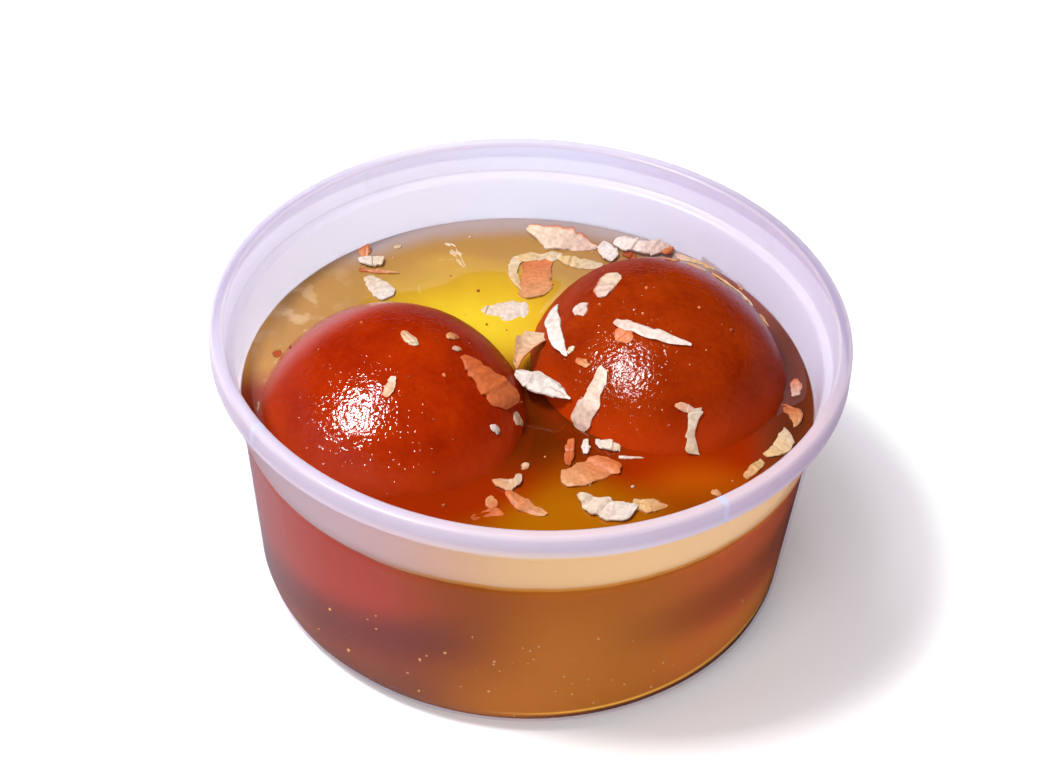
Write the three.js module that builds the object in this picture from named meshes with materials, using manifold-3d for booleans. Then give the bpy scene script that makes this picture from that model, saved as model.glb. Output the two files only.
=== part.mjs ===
// Two gulab jamuns in sugar syrup with almond flakes, in a thin takeaway tub.
// Millimetres, +Z up. The origin is the centre of the tub's foot, on the table.
import * as THREE from 'three';
import { mergeVertices } from 'three/addons/utils/BufferGeometryUtils.js';
import Module from 'manifold-3d';

const wasm = await Module();
wasm.setup();

// ---------------------------------------------------------------- driving dimensions

const tub = {
  rimRadius: 49, // outside of the skirt that hangs from the lip
  height: 46.8,
  wall: 0.6,
  lipWidth: 2.2, // flat ring that the lid snaps over
  lipBevel: 0.4,
  skirtDrop: 3.7,
  shoulderDrop: 5.7, // the step under the lip where the taper starts
  shoulderRadius: 45.2, // inside, just under the step
  stepRise: 0.5, // the step slopes up to the upright zone behind the lip
  lipDraft: 0.3, // how much that zone widens towards the lip
  footRadius: 41.9, // outside of the taper, carried down to the table
  cornerRadius: 5,
  footRingInner: 31,
  footLift: 0.7, // how far the middle of the floor is raised
};
const rib = { count: 4, firstAngle: 36, width: 1.8, depth: 0.35, rise: 4.6 };
const around = 72; // flats round the tub
const arcSteps = 2; // half the number of flats along a corner
const gap = 0.3; // between pieces that touch
const syrupLevel = 33;

const leftBall = { centre: [-20.5, -5.6, 27.0], halfAxes: [21.3, 23.0, 19.3], yaw: 19, phase: 0.4 };
const rightBall = { centre: [20.2, 8.0, 27.4], halfAxes: [21.1, 23.8, 19.1], yaw: 13, phase: 2.1 };
const ballSwell = 0.011; // how far a hand-rolled ball is off a true oval, as a share of its radius
const ballFlats = [40, 24]; // round a ball, and from top to bottom

// Almond flakes on a ball: azimuth and height in degrees from the ball's centre, turn from due east.
const leftFlakes = [
  { azimuth: 3, height: 84, turn: 35, length: 3.8, width: 1.7, bend: 0.1 },
  { azimuth: 20, height: 63, turn: -75, length: 2.2, width: 1.7, bend: 0 },
  { azimuth: -91, height: 62, turn: 74, length: 4.2, width: 1.5, bend: 0.1 },
  { azimuth: -13, height: 45, turn: 80, length: 10.5, width: 4.4, bend: -0.12, tip: 0.35 },
  { azimuth: -14, height: 23, turn: -74, length: 2.8, width: 1.7, bend: 0 },
];
const rightFlakes = [
  { azimuth: 154, height: 61, turn: 9, length: 6.6, width: 3.6, bend: 0.1 },
  { azimuth: 180, height: 51, turn: 26, length: 3.2, width: 2.4, bend: 0 },
  { azimuth: -103, height: 66, turn: -8, length: 12.8, width: 1.6, bend: 0.06 },
  { azimuth: -128, height: 60, turn: -19, length: 3.4, width: 2.4, bend: 0 },
  { azimuth: -176, height: 37, turn: 2, length: 13.0, width: 2.4, bend: 0.05, tip: 0.4 },
  { azimuth: -125, height: 28, turn: -90, length: 11.4, width: 3.2, bend: -0.05 },
  { azimuth: -76, height: 24, turn: -100, length: 4.6, width: 1.5, bend: 0.2 },
];
// Almond flakes that lie level across the gap between the balls, stuck to the right one.
const bridgingFlakes = [
  { x: 2.4, y: -3.2, z: 36.4, turn: -33, length: 10.4, width: 4.2, bend: 0, tip: 0.3 },
  { x: 0.5, y: 5.4, z: 36.6, turn: 46, length: 9.2, width: 3.0, bend: -0.2 },
];
// Almond flakes afloat: place on the syrup and turn from +X.
const floatingFlakes = [
  { x: 4.3, y: 38.7, turn: -20, length: 12.6, width: 4.0, bend: 0.1 },
  { x: 0.5, y: 28.0, turn: -90, length: 9.6, width: 4.8, bend: 0 },
  { x: -2.7, y: 29.5, turn: -86, length: 9.0, width: 1.6, bend: 0.15 },
  { x: 0.9, y: 34.0, turn: 9, length: 7.4, width: 2.2, bend: 0 },
  { x: 7.6, y: 33.2, turn: -12, length: 7.4, width: 2.8, bend: 0.1 },
  { x: -4.3, y: 19.6, turn: 5, length: 7.4, width: 5.4, bend: 0 },
  { x: -12.8, y: 33.4, turn: -66, length: 7.2, width: 2.2, bend: 0.1, tip: 0.5 },
  { x: -26.8, y: 30.1, turn: 1, length: 4.0, width: 2.2, bend: 0 },
  { x: -25.3, y: 27.9, turn: 0, length: 6.6, width: 1.5, bend: -0.1 },
  { x: -25.2, y: 23.7, turn: -55, length: 6.4, width: 3.4, bend: 0 },
  { x: 12.2, y: 36.2, turn: -54, length: 4.4, width: 3.0, bend: 0 },
  { x: 18.0, y: 37.4, turn: -14, length: 7.6, width: 2.6, bend: 0.2 },
  { x: 41.9, y: 3.6, turn: -91, length: 4.2, width: 1.7, bend: 0 },
  { x: 41.0, y: -3.2, turn: -70, length: 5.4, width: 2.3, bend: -0.2 },
  { x: 38.8, y: -10.2, turn: -120, length: 7.2, width: 2.9, bend: -0.2 },
  { x: 34.6, y: -16.4, turn: -126, length: 4.8, width: 1.8, bend: 0 },
  { x: 11.9, y: -26.5, turn: -17, length: 8.4, width: 3.9, bend: 0.3 },
  { x: 18.9, y: -25.6, turn: -6, length: 4.8, width: 2.9, bend: 0 },
  { x: -2.2, y: -22.3, turn: 20, length: 4.2, width: 2.6, bend: 0.2 },
  { x: 0.3, y: -26.7, turn: -38, length: 7.8, width: 2.1, bend: 0.1 },
  { x: -5.3, y: -29.3, turn: 27, length: 4.6, width: 2.5, bend: 0 },
  { x: 9.6, y: -19.0, turn: 40, length: 9.2, width: 4.6, bend: 0 },
];
const flakeRise = 0.5; // how far a flake stands above what it lies on
const flakeSink = 0.55;
const flakeSteps = 4; // lengths that one flake is made of
const raggedness = 0.16; // of a flake's edges, as a share of its half width
const flakeEnd = 0.62; // width left at a flake's two ends

const radians = THREE.MathUtils.degToRad;

// ---------------------------------------------------------------- solids and meshes

function solidFrom(geometry) {
  geometry.deleteAttribute('normal');
  geometry.deleteAttribute('uv');
  const merged = mergeVertices(geometry, 1e-4);
  const index = merged.index.array;
  const faces = [];
  for (let i = 0; i < index.length; i += 3) {
    const [a, b, c] = [index[i], index[i + 1], index[i + 2]];
    if (a !== b && b !== c && c !== a) faces.push(a, b, c);
  }
  return new wasm.Manifold(new wasm.Mesh({
    numProp: 3,
    vertProperties: new Float32Array(merged.attributes.position.array),
    triVerts: new Uint32Array(faces),
  }));
}

function meshFrom(name, solid, material) {
  const { vertProperties, triVerts } = solid.getMesh();
  const geometry = new THREE.BufferGeometry();
  geometry.setAttribute('position', new THREE.BufferAttribute(vertProperties, 3));
  geometry.setIndex(new THREE.BufferAttribute(triVerts, 1));
  geometry.computeVertexNormals();
  const mesh = new THREE.Mesh(geometry, material);
  mesh.name = name;
  return mesh;
}

// A closed solid turned round +Z from a profile whose two ends lie on the axis.
function turned(path) {
  const lathe = new THREE.LatheGeometry(path.getPoints(arcSteps), around);
  return solidFrom(lathe.rotateX(Math.PI / 2));
}

function seededRandom(seed) {
  let state = seed;
  return () => {
    state = (state * 1664525 + 1013904223) % 4294967296;
    return state / 4294967296;
  };
}

// ---------------------------------------------------------------- tub

// Radius of the tapered wall's inside face at a height above the table.
const taper = (tub.shoulderRadius + tub.wall - tub.footRadius) / (tub.height - tub.shoulderDrop);
const insideRadius = (z) => tub.footRadius - tub.wall + taper * z;

// The floor of the tub, or anything that lies `above` its underside: a raised middle inside a foot
// ring, as the two ends of the slope that joins them.
function floorSlope(above) {
  const lean = above * Math.tan(Math.PI / 8);
  return {
    ring: [tub.footRingInner + tub.footLift + lean, above],
    middle: [tub.footRingInner + lean, tub.footLift + above],
  };
}

// The corner between floor and wall is one arc inside and one outside, about the same centre.
const corner = {
  r: tub.footRadius + taper * tub.cornerRadius - tub.cornerRadius * Math.hypot(1, taper),
  z: tub.cornerRadius,
  wallAngle: -Math.atan(taper),
};

function makeTub() {
  const { rimRadius, height, wall, lipWidth, lipBevel, skirtDrop, footLift } = tub;
  const shoulder = height - tub.shoulderDrop;
  const stepTop = shoulder + tub.stepRise;
  const lipInner = rimRadius - lipWidth;
  const stepRadius = lipInner - tub.lipDraft;
  const path = new THREE.Path();
  // Underside of the floor, foot ring, outside corner and tapered wall.
  path.moveTo(0, footLift);
  path.lineTo(...floorSlope(0).middle);
  path.lineTo(...floorSlope(0).ring);
  path.absarc(corner.r, corner.z, tub.cornerRadius, -Math.PI / 2, corner.wallAngle, false);
  path.lineTo(tub.shoulderRadius + wall, shoulder - wall);
  path.lineTo(stepRadius + wall, stepTop - wall);
  // Up behind the skirt, down inside it, round its outside and over the lip.
  path.lineTo(lipInner + wall, height - wall);
  path.lineTo(rimRadius - wall, height - wall);
  path.lineTo(rimRadius - wall, height - skirtDrop);
  path.lineTo(rimRadius, height - skirtDrop);
  path.lineTo(rimRadius, height - lipBevel);
  path.lineTo(rimRadius - lipBevel, height);
  path.lineTo(lipInner + lipBevel, height);
  path.lineTo(lipInner, height - lipBevel);
  // Down the inside: step, tapered wall, corner and floor.
  path.lineTo(stepRadius, stepTop);
  path.lineTo(tub.shoulderRadius, shoulder);
  path.absarc(corner.r, corner.z, tub.cornerRadius - wall, corner.wallAngle, -Math.PI / 2, true);
  path.lineTo(...floorSlope(wall).ring);
  path.lineTo(...floorSlope(wall).middle);
  path.lineTo(0, footLift + wall);
  return turned(path).add(makeRibs(stepRadius, stepTop));
}

// Small upright ribs inside the lip, which stiffen it: each runs from its inner face into the wall.
function makeRibs(wallRadius, bottom) {
  const depth = rib.depth + tub.lipDraft + tub.wall / 4;
  const ribs = [];
  for (let i = 0; i < rib.count; i += 1) {
    const box = new THREE.BoxGeometry(depth, rib.width, rib.rise);
    box.translate(wallRadius - rib.depth + depth / 2, 0, bottom + rib.rise / 2);
    box.rotateZ(radians(rib.firstAngle + (360 / rib.count) * i));
    ribs.push(solidFrom(box));
  }
  return ribs.reduce((sum, one) => sum.add(one));
}

// ---------------------------------------------------------------- balls

// Distance from a ball's centre to its surface along a unit direction.
function ballRadius(ball, d) {
  const yaw = radians(ball.yaw);
  const x = d.x * Math.cos(yaw) + d.y * Math.sin(yaw);
  const y = d.y * Math.cos(yaw) - d.x * Math.sin(yaw);
  const [a, b, c] = ball.halfAxes;
  const oval = 1 / Math.hypot(x / a, y / b, d.z / c);
  const p = ball.phase;
  const waves = Math.sin(3.1 * d.x + p) * Math.cos(2.6 * d.y - p) + 0.6 * Math.sin(4.3 * d.z + 2 * p);
  return oval * (1 + ballSwell * waves);
}

function makeBall(ball, grown) {
  const sphere = new THREE.SphereGeometry(1, ...ballFlats).rotateX(Math.PI / 2);
  const place = sphere.attributes.position;
  const d = new THREE.Vector3();
  for (let i = 0; i < place.count; i += 1) {
    d.fromBufferAttribute(place, i).normalize();
    d.multiplyScalar(ballRadius(ball, d) + grown).add(new THREE.Vector3(...ball.centre));
    place.setXYZ(i, d.x, d.y, d.z);
  }
  return solidFrom(sphere);
}

// A map from a flat patch (x east, y up the ball, rise off the skin) onto a ball.
function patchOnBall(ball, flake) {
  const azimuth = radians(flake.azimuth);
  const height = radians(flake.height);
  const out = new THREE.Vector3(
    Math.cos(height) * Math.cos(azimuth),
    Math.cos(height) * Math.sin(azimuth),
    Math.sin(height),
  );
  const east = new THREE.Vector3(-Math.sin(azimuth), Math.cos(azimuth), 0);
  const north = new THREE.Vector3().crossVectors(out, east);
  const centre = new THREE.Vector3(...ball.centre);
  const reach = ballRadius(ball, out);
  return (x, y, rise) => {
    const d = out.clone().multiplyScalar(reach).addScaledVector(east, x).addScaledVector(north, y);
    d.normalize();
    return d.multiplyScalar(ballRadius(ball, d) + rise).add(centre);
  };
}

// A map onto a level plane, the syrup's if the flake names no height.
const levelPatch = (flake) => (x, y, rise) => (
  new THREE.Vector3(flake.x + x, flake.y + y, (flake.z ?? syrupLevel) + rise)
);

// ---------------------------------------------------------------- almond flakes

// A flake is a strip of four-cornered sections along a gently bent line, ragged along both edges,
// with a far end as narrow as `tip`. `grown` swells it, to cut room for it out of a neighbour.
function makeFlake(flake, patch, seed, grown) {
  const random = seededRandom(seed);
  const turn = radians(flake.turn);
  const points = [];
  for (let i = 0; i <= flakeSteps; i += 1) {
    const t = i / flakeSteps;
    const along = (t - 0.5) * (flake.length + 2 * grown);
    const aside = flake.bend * flake.length * (4 * (t - 0.5) ** 2 - 0.5);
    const ends = i === 0 || i === flakeSteps ? flakeEnd : 1;
    const narrowing = 1 - (1 - (flake.tip ?? 1)) * t;
    const half = 0.5 * flake.width * ends * narrowing;
    const left = half * (1 + raggedness * (2 * random() - 1)) + grown;
    const right = half * (1 + raggedness * (2 * random() - 1)) + grown;
    const at = (side, rise) => patch(
      along * Math.cos(turn) - (aside + side) * Math.sin(turn),
      along * Math.sin(turn) + (aside + side) * Math.cos(turn),
      rise,
    );
    const top = flakeRise + grown;
    const bottom = -flakeSink - grown;
    points.push(at(left, top), at(-right, top), at(-right, bottom), at(left, bottom));
  }
  const faces = [0, 3, 2, 0, 2, 1];
  for (let i = 0; i < flakeSteps; i += 1) {
    for (let j = 0; j < 4; j += 1) {
      const [a, b] = [4 * i + j, 4 * i + ((j + 1) % 4)];
      faces.push(a, b, b + 4, a, b + 4, a + 4);
    }
  }
  const last = 4 * flakeSteps;
  faces.push(last, last + 1, last + 2, last, last + 2, last + 3);
  const geometry = new THREE.BufferGeometry().setFromPoints(points);
  geometry.setIndex(faces);
  return solidFrom(geometry);
}

function withFlakes(base, flakes, patchFor, firstSeed, grown = 0) {
  return flakes.reduce(
    (sum, flake, i) => sum.add(makeFlake(flake, patchFor(flake), firstSeed + i, grown)),
    base,
  );
}

const makeLeft = (grown) => withFlakes(
  makeBall(leftBall, grown), leftFlakes, (flake) => patchOnBall(leftBall, flake), 11, grown,
);
const makeRight = (grown) => withFlakes(
  withFlakes(makeBall(rightBall, grown), bridgingFlakes, levelPatch, 51, grown),
  rightFlakes, (flake) => patchOnBall(rightBall, flake), 31, grown,
);

// ---------------------------------------------------------------- syrup

// The syrup fills the tub up to its level, a gap inside the wall, and is cut round the balls.
function makeSyrup() {
  const bottom = tub.wall + gap;
  const path = new THREE.Path();
  path.moveTo(0, tub.footLift + bottom);
  path.lineTo(...floorSlope(bottom).middle);
  path.lineTo(...floorSlope(bottom).ring);
  path.absarc(corner.r, corner.z, tub.cornerRadius - bottom, -Math.PI / 2, corner.wallAngle, false);
  path.lineTo(insideRadius(syrupLevel) - gap, syrupLevel);
  path.lineTo(0, syrupLevel);
  return withFlakes(turned(path), floatingFlakes, levelPatch, 61)
    .subtract(makeLeft(gap))
    .subtract(makeRight(gap));
}

// ---------------------------------------------------------------- the part

const finish = (color, roughness) => new THREE.MeshStandardMaterial({ color, roughness, metalness: 0 });

const part = new THREE.Group();
part.add(meshFrom('cup', makeTub(), finish('#e4dcf0', 0.35)));
part.add(meshFrom('syrup', makeSyrup(), finish('#c98a1e', 0.08)));
part.add(meshFrom('jamun_left', makeLeft(0), finish('#a8320c', 0.3)));
part.add(meshFrom('jamun_right', makeRight(0).subtract(makeLeft(gap)), finish('#a8320c', 0.3)));

export default part;
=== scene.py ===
"""Two gulab jamuns in sugar syrup with almond flakes, in a thin takeaway tub."""

import math

import bmesh
import bpy
import numpy as np
from mathutils import Matrix, Vector


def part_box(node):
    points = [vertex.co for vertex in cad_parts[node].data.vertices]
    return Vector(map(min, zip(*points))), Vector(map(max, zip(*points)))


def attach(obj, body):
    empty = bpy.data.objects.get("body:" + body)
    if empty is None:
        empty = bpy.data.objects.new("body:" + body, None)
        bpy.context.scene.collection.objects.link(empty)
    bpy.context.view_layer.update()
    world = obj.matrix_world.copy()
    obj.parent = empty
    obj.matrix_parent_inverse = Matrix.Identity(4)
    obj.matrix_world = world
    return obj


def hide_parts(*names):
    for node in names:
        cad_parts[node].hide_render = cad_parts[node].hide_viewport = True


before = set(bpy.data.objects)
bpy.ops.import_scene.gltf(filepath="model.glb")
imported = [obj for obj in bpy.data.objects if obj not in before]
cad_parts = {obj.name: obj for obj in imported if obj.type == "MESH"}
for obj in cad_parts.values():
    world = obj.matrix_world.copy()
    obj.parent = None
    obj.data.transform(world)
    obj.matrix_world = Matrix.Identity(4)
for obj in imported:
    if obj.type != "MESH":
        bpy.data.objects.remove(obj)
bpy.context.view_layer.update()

# ---------------------------------------------------------------- takeaway tub
# One thin shot of natural polypropylene, injection moulded. Where syrup wets it, it is nearly clear;
# where it is dry, it is milky. A lid is pushed over the flat lip and the skirt that hangs from it.
# Small upright ribs behind the lip stiffen it, and a raised floor stands it on a foot ring.

MM = 0.001  # every size below is in millimetres
tub_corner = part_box("cup")[1]
RIM_RADIUS = tub_corner.x / MM
TUB_HEIGHT = tub_corner.z / MM
WALL = 0.6
LIP_WIDTH = 2.2
SKIRT_DROP = 3.7
SHOULDER_DROP = 5.7
SHOULDER_RADIUS = 45.2  # inside, just under the step
STEP_RISE = 0.5
LIP_DRAFT = 0.3
FOOT_RADIUS = 41.9  # outside of the taper, carried down to the table
CORNER_RADIUS = 5.0
FOOT_RING_INNER = 31.0
FOOT_LIFT = 0.7
RIB_ANGLES = np.radians([36, 126, 216, 306])  # the last two are in front
RIB_WIDTH = 1.8
RIB_DEPTH = 0.35
RIB_TOP = 4.6  # above the step
RIB_MARK = 3.4  # how far from a rib its mark shows through the lip, along a radius
SYRUP_LEVEL = 33.0

SHOULDER = TUB_HEIGHT - SHOULDER_DROP
STEP_TOP = SHOULDER + STEP_RISE
LIP_INNER = RIM_RADIUS - LIP_WIDTH
STEP_RADIUS = LIP_INNER - LIP_DRAFT
TAPER = (SHOULDER_RADIUS + WALL - FOOT_RADIUS) / SHOULDER


def inside_radius(z):
    """Radius of the tapered wall's inner face at a height."""
    return FOOT_RADIUS - WALL + TAPER * z


def rounded(corners, steps=5, longest=2.5):
    """A profile through (radius, height, fillet) corners. Each corner is cut by the circle of its
    fillet's radius that touches both sides, and long sides are then split evenly."""
    corners = np.array(corners, float)
    point, fillet = corners[:, :2], corners[1:-1, 2:]
    back = point[:-2] - point[1:-1]
    ahead = point[2:] - point[1:-1]
    back /= np.linalg.norm(back, axis=1, keepdims=True)
    ahead /= np.linalg.norm(ahead, axis=1, keepdims=True)
    half = np.arccos(np.clip((back * ahead).sum(1, keepdims=True), -1, 1)) / 2
    middle = back + ahead
    middle /= np.linalg.norm(middle, axis=1, keepdims=True)
    centre = point[1:-1] + middle * fillet / np.sin(half)
    first = point[1:-1] + back * fillet / np.tan(half) - centre
    last = point[1:-1] + ahead * fillet / np.tan(half) - centre
    swing = (np.pi - 2 * half)[:, None]
    t = np.linspace(0, 1, steps)[None, :, None]
    arc = np.sin((1 - t) * swing) * first[:, None] + np.sin(t * swing) * last[:, None]
    arc = centre[:, None] + arc / np.sin(swing)
    path = np.vstack([point[:1], arc.reshape(-1, 2), point[-1:]])
    gone = np.concatenate([[0], np.cumsum(np.linalg.norm(np.diff(path, axis=0), axis=1))])
    extra = np.arange(0, gone[-1], longest)
    near = np.abs(extra[:, None] - gone[None, :]).min(1) < longest / 3
    stations = np.sort(np.concatenate([gone, extra[~near]]))
    return np.column_stack([np.interp(stations, gone, path[:, i]) for i in (0, 1)])


def mesh_piece(name, points, faces, attributes=None):
    """An object with a smooth mesh from points in millimetres, its doubled points merged."""
    mesh = bpy.data.meshes.new(name)
    mesh.from_pydata((np.asarray(points) * MM).tolist(), [], np.asarray(faces).tolist())
    for key, values in (attributes or {}).items():
        layer = mesh.attributes.new(key, "FLOAT_COLOR", "POINT")
        layer.data.foreach_set("color", np.asarray(values, np.float32).ravel())
    piece = bpy.data.objects.new(name, mesh)
    bpy.context.scene.collection.objects.link(piece)
    shell = bmesh.new()
    shell.from_mesh(mesh)
    bmesh.ops.remove_doubles(shell, verts=shell.verts, dist=0.002 * MM)
    bmesh.ops.recalc_face_normals(shell, faces=shell.faces)
    shell.to_mesh(mesh)
    shell.free()
    mesh.shade_smooth()
    return piece


def grid_faces(rows, columns):
    """Quads of a grid whose columns close on themselves, as rows of four point numbers."""
    row, column = np.meshgrid(np.arange(rows - 1), np.arange(columns), indexing="ij")
    here = (row * columns + column).ravel()
    beside = (row * columns + (column + 1) % columns).ravel()
    return np.column_stack([here, beside, beside + columns, here + columns])


def floor_slope(above):
    """The two ends of the slope from the foot ring to the raised floor, for a face that lies this
    far above the floor's underside."""
    lean = above * math.tan(math.pi / 8)
    return (
        (FOOT_RING_INNER + FOOT_LIFT + lean, above),
        (FOOT_RING_INNER + lean, FOOT_LIFT + above),
    )


def tub_surface():
    """Radius is the profile's; at each rib the inner upright face comes in by the rib's depth, by
    a short slope at both sides and at its top."""
    ring, middle = floor_slope(0)
    ring_in, middle_in = floor_slope(WALL)
    foot_inside = SHOULDER_RADIUS - TAPER * (SHOULDER - WALL)
    outside = [
        (0, FOOT_LIFT, 0),
        (*middle, 0.8),
        (*ring, 0.8),
        (FOOT_RADIUS, 0, CORNER_RADIUS),
        (SHOULDER_RADIUS + WALL, SHOULDER - WALL, 0.8),
        (STEP_RADIUS + WALL, STEP_TOP - WALL, 0.3),
        (LIP_INNER + WALL, TUB_HEIGHT - WALL, 0.25),
        (RIM_RADIUS - WALL, TUB_HEIGHT - WALL, 0.2),
        (RIM_RADIUS - WALL, TUB_HEIGHT - SKIRT_DROP, 0.12),
        (RIM_RADIUS, TUB_HEIGHT - SKIRT_DROP, 0.2),
        (RIM_RADIUS, TUB_HEIGHT, 0.6),
    ]
    inside = [
        (LIP_INNER, TUB_HEIGHT, 0.6),
        (STEP_RADIUS, STEP_TOP, 0.4),
        (SHOULDER_RADIUS, SHOULDER, 0.6),
        (foot_inside, WALL, CORNER_RADIUS - WALL),
        (*ring_in, 0.8),
        (*middle_in, 0.8),
        (0, FOOT_LIFT + WALL, 0),
    ]
    profile = rounded(outside + inside)
    at_rib = np.array([-1.2, -0.95, -0.7, 0, 0.7, 0.95, 1.2]) / STEP_RADIUS  # closer points there
    even = np.linspace(0, 2 * np.pi, 240, endpoint=False)
    angle = np.concatenate([even] + [turn + at_rib for turn in RIB_ANGLES])
    angle = np.sort(angle % (2 * np.pi))
    angle = angle[np.append(True, np.diff(angle) > 0.004)]
    radius, z = profile[:, :1], profile[:, 1:]
    behind_lip = (radius < LIP_INNER + 0.3) & (radius > STEP_RADIUS - 0.1) & (z > STEP_TOP + 0.3)
    from_rib = np.abs((angle[:, None] - RIB_ANGLES[None, :] + np.pi) % (2 * np.pi) - np.pi).min(1)
    across = np.clip((RIB_WIDTH / 2 + 0.15 - from_rib * STEP_RADIUS) / 0.3, 0, 1)[None, :]
    along = np.clip((STEP_TOP + RIB_TOP - z) / 0.5, 0, 1)
    come_in = behind_lip * RIB_DEPTH * across * along
    radius = radius - come_in
    z = np.broadcast_to(z, radius.shape)
    points = np.stack([radius * np.cos(angle), radius * np.sin(angle), z], axis=2)
    return points.reshape(-1, 3), grid_faces(len(profile), len(angle))


def linear(colour):
    """An sRGB hex colour as linear red, green, blue and 1."""
    part = np.array([int(colour[i : i + 2], 16) for i in (1, 3, 5)]) / 255
    part = np.where(part <= 0.04045, part / 12.92, ((part + 0.055) / 1.055) ** 2.4)
    return (*part.tolist(), 1.0)


def add(material, kind, inputs=None, **settings):
    """Adds a node to a material. An input is a value, a hex colour, or the output that feeds it."""
    made = material.node_tree.nodes.new("ShaderNode" + kind)
    for key, value in settings.items():
        setattr(made, key, value)
    for key, value in (inputs or {}).items():
        if isinstance(value, bpy.types.NodeSocket):
            material.node_tree.links.new(value, made.inputs[key])
        else:
            made.inputs[key].default_value = linear(value) if isinstance(value, str) else value
    return made


def fade(material, value, start, stop, low=0.0, high=1.0):
    """A smooth step of a value: low up to the start and high from the stop on."""
    inputs = {"Value": value, "From Min": start, "From Max": stop, "To Min": low, "To Max": high}
    return add(material, "MapRange", inputs, interpolation_type="SMOOTHSTEP").outputs[0]


def fade_mm(material, value, start, stop, low=0.0, high=1.0):
    """A smooth step of a length whose start and stop are in millimetres."""
    return fade(material, value, start * MM, stop * MM, low, high)


def math_node(material, operation, *values):
    """One arithmetic step on values or outputs."""
    return add(material, "Math", dict(enumerate(values)), operation=operation).outputs[0]


def product(material, first, *others):
    """The product of several outputs."""
    for other in others:
        first = math_node(material, "MULTIPLY", first, other)
    return first


def apart(material, value, centre):
    """How far a length is from one given in millimetres, to either side."""
    return math_node(material, "ABSOLUTE", math_node(material, "SUBTRACT", value, centre * MM))


def blend(material, factor, first, second):
    """A mix of two colours by a factor."""
    return add(material, "Mix", {"Factor": factor, 6: first, 7: second}, data_type="RGBA").outputs[2]


def blend_values(material, factor, first, second):
    """A mix of two numbers by a factor."""
    return add(material, "Mix", {"Factor": factor, 2: first, 3: second}, data_type="FLOAT").outputs[0]


def distance(material, place, centre):
    """How far a place is from a point given in millimetres."""
    inputs = {0: place, 1: Vector(centre) * MM}
    return add(material, "VectorMath", inputs, operation="DISTANCE").outputs["Value"]


def from_oval(material, place, centre, half_axes, yaw):
    """How far a place is from an upright oval's centre, in shares of the oval: 1 is on its skin. Its
    centre and half axes are in millimetres and its turn about the vertical is in radians."""
    inputs = {"Location": Vector(centre) * MM, "Rotation": (0, 0, yaw), "Scale": Vector(half_axes) * MM}
    turned = add(material, "Mapping", {"Vector": place, **inputs}, vector_type="TEXTURE").outputs[0]
    return add(material, "VectorMath", {0: turned}, operation="LENGTH").outputs["Value"]


def ramp(material, value, stops):
    """A colour ramp through (position, hex colour) stops."""
    made = add(material, "ValToRGB", {"Fac": value})
    elements = made.color_ramp.elements
    for _ in stops[2:]:
        elements.new(1.0)
    for element, (position, colour) in zip(elements, stops):
        element.position = position
        element.color = linear(colour)
    return made.outputs["Color"]


def noise(material, place, size, detail=2.0):
    """A noise pattern whose grains are about this many millimetres long."""
    inputs = {"Vector": place, "Scale": 1 / (size * MM), "Detail": detail}
    return add(material, "TexNoise", inputs).outputs["Fac"]


def new_material(name):
    """An empty node material and its output node."""
    material = bpy.data.materials.new(name)
    material.use_nodes = True
    material.node_tree.nodes.clear()
    return material, add(material, "OutputMaterial")


def coordinates(material):
    """A place on the piece, and its x, y and z."""
    place = add(material, "TexCoord").outputs["Object"]
    return place, *add(material, "SeparateXYZ", {0: place}).outputs


# Natural polypropylene, moulded: satin, and cloudy because its crystals scatter light. Syrup on its
# inner face fills the fine mould texture, so below the level the cloud all but goes. Above it, a
# blotchy film of syrup, with painted warm light from the syrup, warms the front, and a painted golden
# line of light lies where it meets the liquid. The lip and skirt carry painted shade at the sides and
# painted light along their edges, and the two front ribs show through them. The wall is painted
# darker at the right, on the step's ledge and, pinked by the right ball, low at the front right.
MILK_WHITE = "#F0F3FF"
plastic, end = new_material("natural_polypropylene_moulded")
place, x, y, z = coordinates(plastic)
flat = add(plastic, "CombineXYZ", {0: x, 1: y}).outputs[0]
from_axis = distance(plastic, flat, (0, 0, 0))
right_side = fade_mm(plastic, x, -2, 42)
left_side = fade_mm(plastic, x, 5, -28)
in_front = fade_mm(plastic, y, 0, -26)

line = math_node(plastic, "MULTIPLY_ADD", noise(plastic, place, 11.0), 0.9 * MM, z)
dry = fade_mm(plastic, line, SYRUP_LEVEL - 0.1, SYRUP_LEVEL + 0.6)
wet_cloud = fade_mm(plastic, x, -26, -46, 0.03, 0.3)
cloud = blend_values(plastic, dry, wet_cloud, blend_values(plastic, in_front, 0.58, 0.78))

# Painted shade: the lip is darker at its sides. In front and at the right it is painted warmer, for the
# syrup's amber light through it.
lip_side_shade = fade_mm(plastic, math_node(plastic, "ABSOLUTE", x), 14, 42)
lip_tone = blend(plastic, lip_side_shade, "#E6E2F0", "#BAB0C6")
lip_tone = blend(plastic, in_front, lip_tone, blend(plastic, left_side, "#EEDCDC", "#E6E0F2"))
# Painted light: the lip's rounded edges are one tone, lighter than its painted shade at the sides.
lip_edges = fade_mm(plastic, apart(plastic, from_axis, RIM_RADIUS - LIP_WIDTH / 2), 0.45, 0.85)
lip_tone = blend(plastic, lip_edges, lip_tone, "#E0D4DA")
plain = blend(plastic, left_side, MILK_WHITE, "#F2F2FC")
# Painted shade: the wall is darker at the right.
plain = blend(plastic, right_side, plain, "#E8DEF0")
# Painted shade: the ledge of the step is darker.
ledge_low = fade_mm(plastic, z, SHOULDER - 0.3, SHOULDER + 0.1)
ledge_shade = product(plastic, ledge_low, fade_mm(plastic, z, STEP_TOP + 0.6, STEP_TOP + 0.2))
plain = blend(plastic, ledge_shade, plain, "#E4DEEC")
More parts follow.
